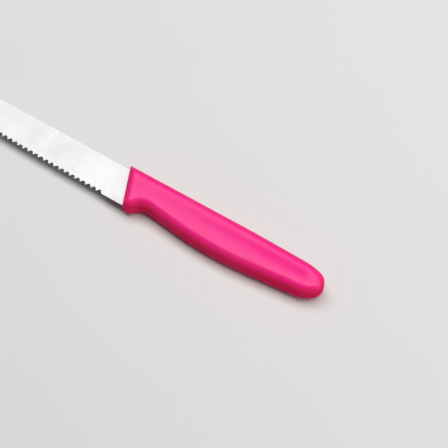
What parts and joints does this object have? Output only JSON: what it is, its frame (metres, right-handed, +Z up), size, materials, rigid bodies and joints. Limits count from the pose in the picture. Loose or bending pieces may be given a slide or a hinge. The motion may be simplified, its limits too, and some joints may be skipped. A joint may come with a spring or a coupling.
{
  "type": "tomato knife",
  "caption": "Small kitchen knife: thin steel blade with a round tip and a wavy cutting edge, and a moulded plastic handle with a round nub and finger notch.",
  "frame": {"origin": "on the table under the centre of the knife's bounding box, the knife lying on its right side", "axes": "+X from the blade's tip to the handle's butt, +Y from the cutting edge to the spine, +Z up out of the blade's left side"},
  "size_m": [0.22, 0.02, 0.012],
  "materials": {
    "blade_steel": "fine satin",
    "handle_plastic": "satin moulded"
  },
  "bodies": {
    "root": {"blade": "blade_steel", "handle": "handle_plastic"}
  },
  "joints": []
}
